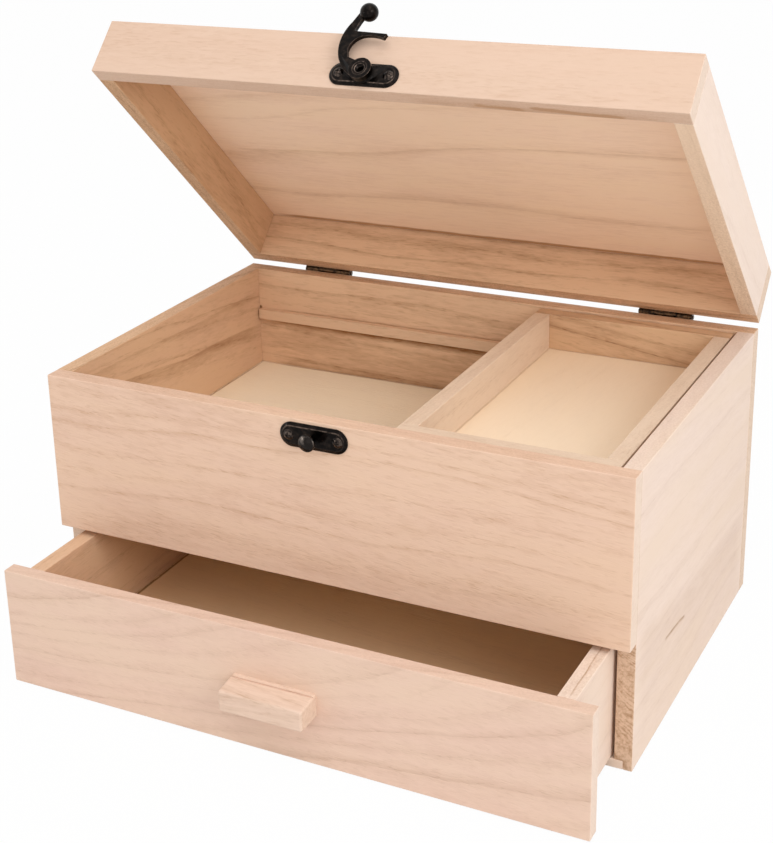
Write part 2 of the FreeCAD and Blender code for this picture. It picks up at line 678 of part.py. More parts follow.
# The hook, drawn about its pivot as it points up. A claw curves round the pivot at the radius
# that clears the stud's neck, an arm carries it, and a lever with a ball end rises beyond.
def swing_hook():
    body = new_body("swing_hook")
    outline = sketch_path(body, "outline", "XZ_Plane", [
        ("-heel_side", "-heel_drop"),
        ("-foot_side", "foot_height", "-foot_bulge", "0"),
        ("-lever_left", "claw_top + lever_root", "-arm_outer", "arm_waist"),
        ("-lever_tip_side", "lever_height + lever_tip_rise"),
        ("-ball_side", "lever_height"),
        ("-lever_right", "lever_height - lever_neck"),
        ("-crotch_side", "claw_top", "-lever_hollow", "claw_top + hollow_rise"),
        ("claw_tip * sin(hook_tip_angle)", "claw_tip * cos(hook_tip_angle)"),
        ("claw_inner * sin(hook_tip_angle)", "claw_inner * cos(hook_tip_angle)"),
        ("-claw_inner * sin(throat_angle)", "claw_inner * cos(throat_angle)", "0", "claw_inner"),
        ("-arm_inner", "arm_foot", "-throat_side", "throat_height"),
        ("-armpit_side", "armpit_height"),
        ("-eye_join_side", "eye_join_height")])
    bind(outline, **{"AttachmentOffset.Base.z": "hook_back"})
    pad(body, "flat", outline, "hook_thick")
    eye = body.newObject("PartDesign::AdditiveCylinder", "eye")
    bind(eye, Radius="eye_radius", Height="eye_height")
    eye.Placement.Rotation = FreeCAD.Rotation(FreeCAD.Vector(1, 0, 0), 90)
    place(eye, y="-hook_back")
    ball = body.newObject("PartDesign::AdditiveSphere", "ball")
    bind(ball, Radius="ball_radius")
    place(ball, "-ball_side", "-hook_back - hook_thick - ball_forward", "lever_height")
    bore(body, "rivet_hole", ("0", "-eye_front", "0"), "rivet_radius + rivet_clearance", "eye_height")
    sink = body.newObject("PartDesign::SubtractiveCone", "sink")
    bind(sink, Radius1="eye_sink_radius", Radius2="rivet_radius + rivet_clearance", Height="eye_sink_depth")
    sink.Placement.Rotation = FreeCAD.Rotation(FreeCAD.Vector(1, 0, 0), -90)
    place(sink, y="-eye_front")
    return body


def check_and_write():
    doc.recompute()
    failed = [thing.Name + " " + thing.getStatusString() for thing in doc.Objects
              if {"Invalid", "Error"} & set(thing.State)]
    if failed:
        raise RuntimeError("failed: " + ", ".join(failed))
    for thing in nodes:
        if thing.Shape.isNull() or not thing.Shape.isValid() or not thing.Shape.Solids:
            raise RuntimeError("no valid shape: " + thing.Label)
    os.makedirs("parts", exist_ok=True)
    for thing in nodes:
        thing.Shape.exportStep("parts/%s.step" % thing.Label)
        print("%-24s %2d %10.1f mm3" % (thing.Label, len(thing.Shape.Solids), thing.Shape.Volume))


fill_sheet()
latch_screw = screw("latch_screw", "plate_head_radius", "plate_head_height", "plate_shank")
hinge_screw = screw("hinge_screw", "hinge_head_radius", "hinge_head_height", "hinge_shank")
carcass()
tray_ledges()
tray()
drawer()
lid()
hinges()
catch()
hook_mount()
check_and_write()
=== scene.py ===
import json
import math

import bmesh
import bpy
import numpy as np
from mathutils import Matrix, Vector

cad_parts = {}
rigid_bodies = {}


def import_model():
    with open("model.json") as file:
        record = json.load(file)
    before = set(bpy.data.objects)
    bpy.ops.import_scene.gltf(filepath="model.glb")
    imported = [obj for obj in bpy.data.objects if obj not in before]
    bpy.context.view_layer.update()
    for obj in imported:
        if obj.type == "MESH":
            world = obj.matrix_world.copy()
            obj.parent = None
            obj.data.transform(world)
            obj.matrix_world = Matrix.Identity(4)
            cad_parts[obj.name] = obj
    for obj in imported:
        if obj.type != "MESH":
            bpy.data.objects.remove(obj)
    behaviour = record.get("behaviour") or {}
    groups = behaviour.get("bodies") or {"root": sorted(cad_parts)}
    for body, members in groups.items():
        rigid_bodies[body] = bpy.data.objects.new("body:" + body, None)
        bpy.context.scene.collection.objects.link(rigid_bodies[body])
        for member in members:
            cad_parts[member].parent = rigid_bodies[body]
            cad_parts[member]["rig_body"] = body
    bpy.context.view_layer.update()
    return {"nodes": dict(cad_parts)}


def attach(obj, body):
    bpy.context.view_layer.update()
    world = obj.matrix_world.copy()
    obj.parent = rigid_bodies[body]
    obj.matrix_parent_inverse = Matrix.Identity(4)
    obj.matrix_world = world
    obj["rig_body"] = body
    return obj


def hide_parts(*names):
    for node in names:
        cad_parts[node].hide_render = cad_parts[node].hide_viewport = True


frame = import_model()
nodes = frame["nodes"]


print("frame loaded:", len(nodes), "nodes")

# camera: the pixel focal length, optical centre and three angles of the photograph
cameraValues = {
    "pixelsWide": 773,
    "pixelsHigh": 843,
    "focalPixels": 1634.04,
    "centre": (337.51, 338.16),
    "azimuth": 28.309,
    "elevation": 19.812,
    "roll": -1.8535,
    "target": (-0.040918, 0.0, 0.148158),
    "distance": 0.83807,
    "sensor": 36.0,
    "clip": (0.02, 60.0),
}


# toward = (sin a cos e, -cos a cos e, sin e) points at the camera. right = (cos a, sin a, 0) and up = toward x right
# are turned by the roll: across = right cos r + up sin r, along = up cos r - right sin r.
def makeCamera(v):
    a, e, r = (math.radians(v[k]) for k in ("azimuth", "elevation", "roll"))
    toward = Vector((math.sin(a) * math.cos(e), -math.cos(a) * math.cos(e), math.sin(e)))
    right = Vector((math.cos(a), math.sin(a), 0.0))
    up = toward.cross(right)
    across = right * math.cos(r) + up * math.sin(r)
    along = up * math.cos(r) - right * math.sin(r)
    data = bpy.data.cameras.new("photoCamera")
    data.sensor_fit = "HORIZONTAL"
    data.sensor_width = v["sensor"]
    data.lens = v["focalPixels"] * v["sensor"] / v["pixelsWide"]
    data.shift_x = (v["pixelsWide"] / 2 - v["centre"][0]) / v["pixelsWide"]
    data.shift_y = (v["centre"][1] - v["pixelsHigh"] / 2) / v["pixelsWide"]
    data.clip_start, data.clip_end = v["clip"]
    camera = bpy.data.objects.new("photoCamera", data)
    turn = Matrix((across, along, toward)).transposed().to_4x4()
    camera.matrix_world = Matrix.Translation(Vector(v["target"]) + toward * v["distance"]) @ turn
    bpy.context.scene.collection.objects.link(camera)
    bpy.context.scene.camera = camera


makeCamera(cameraValues)
print("camera placed")


def linkNodes(tree, pairs):   # each pair is (from socket, to socket)
    for a, b in pairs:
        tree.links.new(a, b)


def fillSockets(tree, sockets, values):   # a value is a socket to link, a constant to set, or None to leave alone
    for socket, value in zip(sockets, values):
        if isinstance(value, bpy.types.NodeSocket):
            tree.links.new(value, socket)
        elif value is not None:
            socket.default_value = value


def mathNode(tree, operation, a, b=None, c=None, clamp=False):   # one Math node; a, b and c are sockets or numbers
    n = tree.nodes.new("ShaderNodeMath")
    n.operation = operation
    n.use_clamp = clamp
    fillSockets(tree, n.inputs, (a, b, c))
    return n.outputs[0]


def vectorNode(tree, operation, a, b=None):   # one Vector Math node; a and b are sockets or three numbers
    n = tree.nodes.new("ShaderNodeVectorMath")
    n.operation = operation
    fillSockets(tree, n.inputs, (a, b))
    return n.outputs["Value" if operation in ("DOT_PRODUCT", "LENGTH") else "Vector"]


def noiseNode(tree, vector, scale, detail=2.0, rough=0.5):   # noise(vector x scale)
    n = tree.nodes.new("ShaderNodeTexNoise")
    fillSockets(tree, [n.inputs[t] for t in ("Vector", "Scale", "Detail", "Roughness")], (vector, scale, detail, rough))
    return n.outputs


def drawnNoise(tree, vector, factors, detail, rough):   # noise drawn out along the grain: noise(vector x three factors)
    return noiseNode(tree, vectorNode(tree, "MULTIPLY", vector, factors), 1.0, detail, rough)


def curveNode(tree, value, stops):   # a grey curve through (place, height) stops
    n = tree.nodes.new("ShaderNodeValToRGB")
    ramp = n.color_ramp
    while len(ramp.elements) > 1:
        ramp.elements.remove(ramp.elements[-1])
    for i, (place, height) in enumerate(stops):
        e = ramp.elements[0] if i == 0 else ramp.elements.new(place)
        e.position = place
        e.color = (height, height, height, 1)
    tree.links.new(value, n.inputs[0])
    return n.outputs[0]


def rise(tree, value, start, full):   # 0 up to start, then in a straight line to 1 at full
    return curveNode(tree, value, [(0.0, 0.0), (start, 0.0), (full, 1.0), (1.0, 1.0)])


def mixColour(tree, share, first, second):   # first x (1 - share) + second x share; each is a socket or a colour
    mix = tree.nodes.new("ShaderNodeMix")
    mix.data_type = "RGBA"
    tree.links.new(share, mix.inputs[0])
    fillSockets(tree, [x for x in mix.inputs if x.type == "RGBA"], (first, second))
    return [x for x in mix.outputs if x.type == "RGBA"][0]


def bumpNode(tree, height, strength, distance):   # the normal tilted by the slope of strength x distance x height
    n = tree.nodes.new("ShaderNodeBump")
    fillSockets(tree, [n.inputs[t] for t in ("Height", "Strength", "Distance")], (height, strength, distance))
    return n.outputs["Normal"]


def seenDirectly(tree):   # the greatest of three flags: 1 for the camera's, mirrored and refracted rays, else 0
    path = tree.nodes.new("ShaderNodeLightPath")
    seen = mathNode(tree, "MAXIMUM", path.outputs["Is Camera Ray"], path.outputs["Is Glossy Ray"])
    return mathNode(tree, "MAXIMUM", seen, path.outputs["Is Transmission Ray"])


def mixShaders(tree, share, first, second, end):   # end gets first x (1 - share) + second x share
    mix = tree.nodes.new("ShaderNodeMixShader")
    linkNodes(tree, [
        (share, mix.inputs[0]),
        (first.outputs[0], mix.inputs[1]),
        (second.outputs[0], mix.inputs[2]),
        (mix.outputs[0], tree.nodes.new(end).inputs[0])])


# light: an even pale room, broad lamps at the front right, the front and above, and a small one that glints on metal
roomValues = {"strength": 0.68, "colour": (1.0, 0.985, 0.97, 1.0), "backdrop": (1.0, 1.0, 1.0, 1.0)}
lampValues = {   # power in watts, size in metres
    "keyLamp": {"place": (1.35, -0.75, 0.95), "aim": (0.0, 0.0, 0.15), "size": 0.9, "power": 9.6,
                "colour": (1.0, 0.985, 0.97)},
    "fillLamp": {"place": (0.25, -1.75, 0.42), "aim": (0.0, 0.0, 0.16), "size": 1.3, "power": 2.1,
                 "colour": (1.0, 0.985, 0.96)},
    "topLamp": {"place": (0.1, -0.55, 1.7), "aim": (0.0, 0.0, 0.1), "size": 1.5, "power": 8.4,
                "colour": (1.0, 0.985, 0.97)},
    "sparkLamp": {"place": (-1.15, -1.0, 0.42), "aim": (0.0, 0.0, 0.15), "size": 0.20, "power": 1.2,
                  "colour": (1.0, 0.985, 0.97)},
}
floorValues = {"white": 0.80, "glow": 0.975, "halfSide": 9.0, "height": -0.0004}


def makeWorld(v):   # the white backdrop where it is seen directly, and the pale room for all other light
    world = bpy.data.worlds.new("paleRoom")
    world.use_nodes = True
    tree = world.node_tree
    tree.nodes.clear()
    room, white = (tree.nodes.new("ShaderNodeBackground") for _ in range(2))
    fillSockets(tree, room.inputs, (v["colour"], v["strength"]))
    fillSockets(tree, white.inputs, (v["backdrop"], 1.0))
    mixShaders(tree, seenDirectly(tree), room, white, "ShaderNodeOutputWorld")
    bpy.context.scene.world = world


def makeLamp(name, v):   # a disk whose -Z axis runs along aim minus place
    data = bpy.data.lights.new(name, "AREA")
    data.shape = "DISK"
    data.size = v["size"]
    data.energy = v["power"]
    data.color = v["colour"]
    lamp = bpy.data.objects.new(name, data)
    look = Vector(v["aim"]) - Vector(v["place"])
    lamp.matrix_world = Matrix.Translation(Vector(v["place"])) @ look.to_track_quat("-Z", "Y").to_matrix().to_4x4()
    bpy.context.scene.collection.objects.link(lamp)


def makeFloor(v):   # a square just under the box: white paint, and a white glow for the share that is seen directly
    mesh = bpy.data.meshes.new("floor")
    s, z = v["halfSide"], v["height"]
    mesh.from_pydata([(-s, -s, z), (s, -s, z), (s, s, z), (-s, s, z)], [], [(0, 1, 2, 3)])
    floor = bpy.data.objects.new("floor", mesh)
    bpy.context.scene.collection.objects.link(floor)
    material = bpy.data.materials.new("whiteFloor")
    material.use_nodes = True
    tree = material.node_tree
    tree.nodes.clear()
    share = mathNode(tree, "MULTIPLY", seenDirectly(tree), v["glow"])
    paint = tree.nodes.new("ShaderNodeBsdfDiffuse")
    paint.inputs["Color"].default_value = (v["white"],) * 3 + (1,)
    glow = tree.nodes.new("ShaderNodeEmission")
    glow.inputs["Strength"].default_value = 1.0
    mixShaders(tree, share, paint, glow, "ShaderNodeOutputMaterial")
    mesh.materials.append(material)


makeWorld(roomValues)
for name, values in lampValues.items():
    makeLamp(name, values)
makeFloor(floorValues)
bpy.context.scene.view_settings.view_transform = "Standard"
print("light and floor made")


def newGroup(name, inputs, outputs):   # inputs are (name, kind, default) rows, outputs (name, kind) rows
    group = bpy.data.node_groups.new(name, "ShaderNodeTree")
    for title, kind, value in inputs:
        socket = group.interface.new_socket(title, in_out="INPUT", socket_type=kind)
        if value is not None:
            socket.default_value = value
    for title, kind in outputs:
        group.interface.new_socket(title, in_out="OUTPUT", socket_type=kind)
    return group, group.nodes.new("NodeGroupInput"), group.nodes.new("NodeGroupOutput")


ringNames = ("Bands", "Lines", "Fibres", "Pores", "Clouds", "Fine Rings")
strengthNames = ("Band", "Line", "Fibre", "Pore", "Cloud", "End")
grainNoises = {   # waves per metre along and across the grain, detail, roughness
    "slow": ((3.2, 13.0, 13.0), 2.0, 0.5),
    "small": ((12.0, 170.0, 170.0), 3.0, 0.5),
    "broken": ((22.0, 90.0, 90.0), 3.0, 0.7),
    "fibres": ((60.0, 520.0, 520.0), 4.0, 0.7),
    "pores": ((170.0, 1300.0, 1300.0), 1.0, 0.4),
    "clouds": ((9.0, 42.0, 42.0), 4.0, 0.6),
}
ringCurves = {   # heights over one ring, from its pale start to its dark end; "broken" is over its own noise
    "bands": [(0.0, 0.50), (0.14, 0.22), (0.35, 0.04), (0.55, 0.0), (0.82, 0.38), (0.95, 0.75), (1.0, 0.50)],
    "lines": [(0.0, 0.35), (0.02, 0.0), (0.90, 0.0), (0.955, 0.25), (0.985, 1.0), (1.0, 0.35)],
    "fine": [(0.0, 1.0), (0.25, 0.35), (0.6, 0.0), (0.85, 0.5), (1.0, 1.0)],
    "broken": [(0.0, 0.0), (0.38, 0.1), (0.60, 1.0), (1.0, 1.0)],
}
grainValues = {
    "ringWidth": 0.007,
    "wander": 0.012,
    "smallPush": 0.30,     # how far the small noise moves a ring, in rings
    "widths": 55.0,        # waves per metre of the noise that makes rings wider and narrower
    "widthPush": 2.4,      # how far it moves a ring, in rings
    "weightPower": 1.8,
    "leastBand": 0.2,      # a band's strength at weight 0, the rest growing with the weight
    "poreStart": 0.55,
    "poreFull": 0.68,
    "poreShare": 0.35,     # the pores' strength where there is no band
    "poreOnBand": 1.2,     # and what a full band adds
    "finePerRing": 5.0,
    "leastFine": 0.4,
    "fineBand": 0.5,
}


# Growth rings: the distance from the pith line, bent by slow noise and divided by the ring width, gives a phase. Its
# fraction is the place in the ring, its whole part gives the ring a weight of its own. Each ring darkens slowly and
# ends in a thin line. The grain runs along X. Fibres and pores are noises drawn out along the grain.
def makeGrainGroup(v):
    group, given, made = newGroup("boardGrain", [
        ("Grain Place", "NodeSocketVector", None),
        ("Ring Width", "NodeSocketFloat", v["ringWidth"]),
        ("Wander", "NodeSocketFloat", v["wander"])],
        [(title, "NodeSocketFloat") for title in ringNames])
    place = given.outputs["Grain Place"]
    noises = {title: drawnNoise(group, place, *values) for title, values in grainNoises.items()}
    push = group.nodes.new("ShaderNodeVectorMath")
    push.operation = "SCALE"
    bend = vectorNode(group, "SUBTRACT", noises["slow"]["Color"], (0.5, 0.5, 0.5))
    linkNodes(group, [(bend, push.inputs[0]), (given.outputs["Wander"], push.inputs["Scale"])])
    moved = vectorNode(group, "ADD", place, push.outputs[0])
    length = vectorNode(group, "LENGTH", vectorNode(group, "MULTIPLY", moved, (0.0, 1.0, 1.0)))
    widths = group.nodes.new("ShaderNodeTexNoise")
    widths.noise_dimensions = "1D"
    fillSockets(group, [widths.inputs[t] for t in ("W", "Scale", "Detail")], (length, v["widths"], 1.0))
    phase = mathNode(group, "DIVIDE", length, given.outputs["Ring Width"])
    phase = mathNode(group, "MULTIPLY_ADD", noises["small"]["Fac"], v["smallPush"], phase)
    phase = mathNode(group, "MULTIPLY_ADD", widths.outputs["Fac"], v["widthPush"], phase)
    part = mathNode(group, "FRACT", phase)
    each = group.nodes.new("ShaderNodeTexWhiteNoise")
    each.noise_dimensions = "1D"
    group.links.new(mathNode(group, "FLOOR", phase), each.inputs["W"])
    weight = mathNode(group, "POWER", each.outputs["Value"], v["weightPower"])
    broken = curveNode(group, noises["broken"]["Fac"], ringCurves["broken"])
    bandWeight = mathNode(group, "MULTIPLY_ADD", weight, 1 - v["leastBand"], v["leastBand"])
    band = mathNode(group, "MULTIPLY", curveNode(group, part, ringCurves["bands"]), bandWeight)
    line = mathNode(group, "MULTIPLY", curveNode(group, part, ringCurves["lines"]),
                    mathNode(group, "MULTIPLY", weight, broken))
    pore = rise(group, noises["pores"]["Fac"], v["poreStart"], v["poreFull"])
    pore = mathNode(group, "MULTIPLY", pore, mathNode(group, "MULTIPLY_ADD", band, v["poreOnBand"], v["poreShare"]))
    fine = mathNode(group, "FRACT", mathNode(group, "MULTIPLY", phase, v["finePerRing"]))
    fine = mathNode(group, "MULTIPLY", curveNode(group, fine, ringCurves["fine"]),
                    mathNode(group, "MULTIPLY_ADD", broken, 1 - v["leastFine"], v["leastFine"]))
    fine = mathNode(group, "MULTIPLY_ADD", band, v["fineBand"], fine)
    results = (band, line, noises["fibres"]["Fac"], pore, noises["clouds"]["Fac"], fine)
    linkNodes(group, [(result, made.inputs[title]) for title, result in zip(ringNames, results)])
    return group


colourValues = {
    "blushStart": 0.35,    # the clouds' height where the pale colour starts to turn to the blush, and where it is full
    "blushFull": 0.65,
    "endFibre": 2.4,       # how strongly fibres and fine rings darken a face across the grain
    "endRings": 0.65,
    "rough": 0.62,
    "fibreRough": 0.16,
    "poreDepth": -0.7,
    "lineDepth": -0.8,
}


# Bare wood: a pale colour that drifts towards a blush, darkened by the sum of strength x pattern over bands, lines,
# fibres, pores and clouds on the faces along the grain, by fibres and fine rings on those across it, and by saw marks
# and by single marks and painted shade on both.
def makeWoodColourGroup(v):
    group, given, made = newGroup("bareWoodColour", [
        ("Pale", "NodeSocketColor", (0.8, 0.6, 0.45, 1)),
        ("Blush", "NodeSocketColor", (0.8, 0.6, 0.45, 1)),
        ("Late", "NodeSocketColor", (0.6, 0.4, 0.26, 1)),
        ("End", "NodeSocketColor", (0.6, 0.4, 0.26, 1)),
        *[(title, "NodeSocketFloat", 0.5) for title in ringNames[:-1]],
        *[(title, "NodeSocketFloat", 0.0) for title in ("Fine Rings", "Cut Across", "Marks And Painted Shade", "Sawn")],
        *[(title + " Strength", "NodeSocketFloat", 0.2) for title in strengthNames]],
        [("Colour", "NodeSocketColor"), ("Roughness", "NodeSocketFloat"), ("Height", "NodeSocketFloat")])
    inn = given.outputs
    ends = mathNode(group, "MULTIPLY", inn["Cut Across"], inn["End Strength"])
    faces = mathNode(group, "SUBTRACT", 1.0, inn["Cut Across"])
    fibre = mathNode(group, "SUBTRACT", inn["Fibres"], 0.5)
    cloud = mathNode(group, "SUBTRACT", inn["Clouds"], 0.5)
    total = mathNode(group, "MULTIPLY", inn["Bands"], inn["Band Strength"])
    for pattern, strength in ((inn["Lines"], "Line"), (fibre, "Fibre"), (cloud, "Cloud"), (inn["Pores"], "Pore")):
        total = mathNode(group, "MULTIPLY_ADD", pattern, inn[strength + " Strength"], total)
    total = mathNode(group, "MULTIPLY", total, faces)
    for pattern, amount in ((fibre, v["endFibre"]), (inn["Fine Rings"], v["endRings"])):
        total = mathNode(group, "MULTIPLY_ADD", ends, mathNode(group, "MULTIPLY", pattern, amount), total)
    total = mathNode(group, "ADD", total, inn["Sawn"])
    total = mathNode(group, "ADD", total, inn["Marks And Painted Shade"], clamp=True)
    tint = rise(group, inn["Clouds"], v["blushStart"], v["blushFull"])
    pale = mixColour(group, tint, inn["Pale"], inn["Blush"])
    pale = mixColour(group, inn["Cut Across"], pale, inn["End"])
    rough = mathNode(group, "MULTIPLY_ADD", inn["Fibres"], v["fibreRough"], v["rough"])
    height = mathNode(group, "MULTIPLY_ADD", inn["Pores"], v["poreDepth"], inn["Fibres"])
    height = mathNode(group, "MULTIPLY_ADD", inn["Lines"], v["lineDepth"], height)
    linkNodes(group, [
        (mixColour(group, total, pale, inn["Late"]), made.inputs["Colour"]),
        (rough, made.inputs["Roughness"]),
        (height, made.inputs["Height"])])
    return group


grainGroup = makeGrainGroup(grainValues)
colourGroup = makeWoodColourGroup(colourValues)

lidOpen = math.radians(43.6)
quarter = math.pi / 2
grainTurns = {   # turns that bring the grain onto X, and for the lid its closed position onto the level
    "x": (0.0, 0.0, 0.0),
    "y": (0.0, 0.0, -quarter),
    "lidX": (lidOpen, 0.0, 0.0),
    "lidY": (lidOpen, 0.0, -quarter),
}
woodLooks = {   # pale, blush, late and end colours, and the strengths of bands, lines, fibres, pores, clouds and ends
    "front": ((0.795, 0.565, 0.418), (0.785, 0.552, 0.425), (0.500, 0.285, 0.160), (0.850, 0.690, 0.575),
              (0.55, 0.14, 0.85, 0.28, 0.55, 0.15)),
    "drawerFront": ((0.785, 0.582, 0.455), (0.780, 0.562, 0.455), (0.500, 0.320, 0.220), (0.850, 0.690, 0.580),
                    (0.45, 0.06, 0.52, 0.16, 0.40, 0.15)),
    "lidFront": ((0.700, 0.508, 0.388), (0.720, 0.520, 0.402), (0.500, 0.300, 0.180), (0.840, 0.680, 0.565),
                 (0.16, 0.10, 0.55, 0.20, 0.34, 0.15)),
    "outside": ((0.800, 0.585, 0.440), (0.790, 0.570, 0.440), (0.500, 0.290, 0.165), (0.850, 0.690, 0.575),
                (0.45, 0.12, 0.70, 0.24, 0.45, 0.20)),
    "ledge": ((0.780, 0.540, 0.365), (0.760, 0.525, 0.355), (0.320, 0.155, 0.065), (0.800, 0.630, 0.500),
              (0.30, 0.12, 0.60, 0.24, 0.45, 0.20)),
    "tray": ((0.780, 0.615, 0.475), (0.770, 0.600, 0.460), (0.470, 0.295, 0.175), (0.740, 0.570, 0.430),
             (0.20, 0.12, 0.50, 0.24, 0.32, 0.40)),
    "pull": ((0.775, 0.590, 0.465), (0.780, 0.580, 0.465), (0.480, 0.300, 0.185), (0.800, 0.620, 0.500),
             (0.45, 0.30, 0.80, 0.30, 0.45, 0.50)),
    # "side": a paler copy of the wood for faces turned to the right, painted light
    "side": ((0.850, 0.685, 0.565), (0.875, 0.715, 0.620), (0.420, 0.245, 0.135), (0.720, 0.520, 0.375),
             (0.15, 0.10, 0.22, 0.07, 0.20, 1.15)),
    # "inner": a darker copy of the wood for inside faces, painted shade
    "inner": ((0.720, 0.475, 0.300), (0.710, 0.465, 0.310), (0.320, 0.155, 0.065), (0.800, 0.630, 0.500),
              (0.38, 0.14, 0.70, 0.24, 0.60, 0.20)),
    # the inside of the lid's back board: a darker copy, painted shade
    "shadedBackInner": ((0.790, 0.525, 0.335), (0.770, 0.508, 0.325), (0.310, 0.145, 0.055), (0.800, 0.630, 0.500),
                  (0.80, 0.14, 0.95, 0.30, 0.90, 0.20)),
    # the inside of the back wall: a darker copy, painted shade
    "shadedBackWall": ((0.800, 0.540, 0.352), (0.775, 0.518, 0.340), (0.310, 0.145, 0.055), (0.800, 0.630, 0.500),
                 (0.42, 0.08, 0.85, 0.28, 0.95, 0.20)),
    # the lid's right board: a paler copy again, painted light
    "litLidRight": ((0.880, 0.725, 0.620), (0.900, 0.750, 0.660), (0.420, 0.245, 0.135), (0.720, 0.520, 0.375),
                 (0.15, 0.10, 0.22, 0.07, 0.20, 1.15)),
    # the inside of the lid's left board: a darker copy, painted shade
    "shadedLidSide": ((0.700, 0.450, 0.270), (0.670, 0.425, 0.255), (0.260, 0.110, 0.038), (0.700, 0.500, 0.360),
                (0.40, 0.10, 0.80, 0.26, 0.70, 0.20)),
    "darkInner": ((0.705, 0.468, 0.288), (0.675, 0.442, 0.275), (0.260, 0.110, 0.038), (0.700, 0.500, 0.360),
                  (0.90, 0.30, 0.95, 0.36, 0.80, 0.30)),
    "lidTop": ((0.950, 0.730, 0.550), (0.950, 0.720, 0.565), (0.500, 0.280, 0.145), (0.840, 0.670, 0.550),
               (0.42, 0.06, 0.45, 0.14, 0.36, 0.20)),
    "floorPly": ((0.990, 0.885, 0.695), (0.990, 0.885, 0.705), (0.480, 0.310, 0.170), (0.700, 0.520, 0.360),
                 (0.04, 0.02, 0.10, 0.05, 0.08, 0.0)),
    "trayPly": ((0.950, 0.800, 0.610), (0.950, 0.800, 0.620), (0.480, 0.310, 0.170), (0.700, 0.520, 0.360),
                (0.04, 0.02, 0.12, 0.05, 0.10, 0.0)),
    "drawerPly": ((0.985, 0.700, 0.430), (0.985, 0.700, 0.440), (0.420, 0.240, 0.110), (0.700, 0.520, 0.360),
                  (0.08, 0.02, 0.20, 0.10, 0.20, 0.0)),
}
sawnRims = {   # how strongly the saw speckles a board's upper and lower rims, at the start and the end of its grain
    "left_side_panel": (0.45, 0.45), "right_side_panel": (0.25, 0.25), "back_panel": (0.40, 0.40),
    "upper_front_panel": (0.30, 0.30), "lid_left_board": (0.50, 0.50), "lid_right_board": (0.16, 0.58),
    "lid_back_board": (0.50, 0.34), "lid_front_board": (0.24, 0.28), "tray_left_end": (0.25, 0.25),
    "tray_right_end": (0.25, 0.25), "tray_front": (0.20, 0.20), "drawer_front": (0.25, 0.25),
    "drawer_right_side": (0.30, 0.30),
}
rimTones = {"lid_right_board": (0.850, 0.645, 0.480)}   # a board's rims where they aren't as pale as its face, whose paler look is painted light
# For each board: grain, the pith line's distances from the board's middle through its thickness and across it in
# millimetres, its slope and dive in degrees, ring width and wander in metres, and look
boardValues = {
    "left_side_panel": ("y", (-70, -40), -5.0, 4.0, 0.0085, 0.030, "inner"),
    "right_side_panel": ("y", (60, -130), -4.0, 3.0, 0.0150, 0.034, "side"),
    "upper_front_panel": ("x", (60, -95), -4.5, 5.0, 0.0105, 0.036, "front"),
    "back_panel": ("x", (-55, -110), -0.8, 1.5, 0.0110, 0.030, "shadedBackWall"),
    "bottom_board": ("x", (30, 60), 1.0, 2.0, 0.0090, 0.018, "side"),
    "tray_ledge_front": ("x", (40, 30), 1.0, 1.0, 0.0050, 0.010, "ledge"),
    "tray_ledge_back": ("x", (40, 30), 1.0, 1.0, 0.0050, 0.010, "ledge"),
    "tray_front": ("x", (50, -40), 2.0, 2.0, 0.0070, 0.018, "tray"),
    "tray_back": ("x", (45, 50), -6.0, 3.0, 0.0070, 0.030, "darkInner"),
    "tray_left_end": ("y", (-60, -40), 2.0, 3.0, 0.0090, 0.022, "tray"),
    "tray_right_end": ("y", (60, -40), 2.0, 3.0, 0.0090, 0.022, "tray"),
    "drawer_front": ("x", (46, 42), 0.0, -10.0, 0.0062, 0.020, "drawerFront"),
    "drawer_left_side": ("y", (-50, -60), 3.0, 3.0, 0.0090, 0.022, "inner"),
    "drawer_right_side": ("y", (60, -60), 2.0, 3.0, 0.0090, 0.022, "side"),
    "drawer_back": ("x", (-60, 40), 2.0, 3.0, 0.0090, 0.022, "inner"),
    "drawer_pull": ("x", (30, -40), 3.0, 4.0, 0.0045, 0.012, "pull"),
    "lid_front_board": ("lidX", (70, 50), 1.0, 2.0, 0.0120, 0.024, "lidFront"),
    "lid_back_board": ("lidX", (-55, -50), 0.8, 1.5, 0.0085, 0.030, "shadedBackInner"),
    "lid_left_board": ("lidY", (-50, -30), 2.0, 4.0, 0.0070, 0.020, "shadedLidSide"),
    "lid_right_board": ("lidY", (60, -60), 2.0, 3.0, 0.0110, 0.022, "litLidRight"),
    "lid_top_panel": ("lidX", (30, -75), 1.5, 2.5, 0.0150, 0.050, "lidTop"),
    "compartment_floor": ("x", (60, -60), 3.0, 2.0, 0.0300, 0.060, "floorPly"),
    "tray_floor": ("y", (60, -60), 3.0, 2.0, 0.0300, 0.060, "trayPly"),
    "drawer_bottom": ("x", (60, -60), 3.0, 2.0, 0.0300, 0.060, "drawerPly"),
}
# Boards with a second look on the face towards the left or the back (1), or on the face upwards (2): the outside of
# the left and back boards is pale, and the inside of the right and front ones is as dark as the other walls; the dark
# inside looks are painted shade
otherFaces = {
    "left_side_panel": (1, "outside"), "back_panel": (1, "outside"), "drawer_left_side": (1, "outside"),
    "lid_left_board": (1, "outside"), "lid_back_board": (1, "outside"), "lid_top_panel": (2, "outside"),
    "drawer_back": (1, "outside"), "upper_front_panel": (1, "inner"), "right_side_panel": (1, "inner"),
    "lid_front_board": (1, "inner"), "lid_right_board": (1, "inner"), "drawer_right_side": (1, "inner"),
}
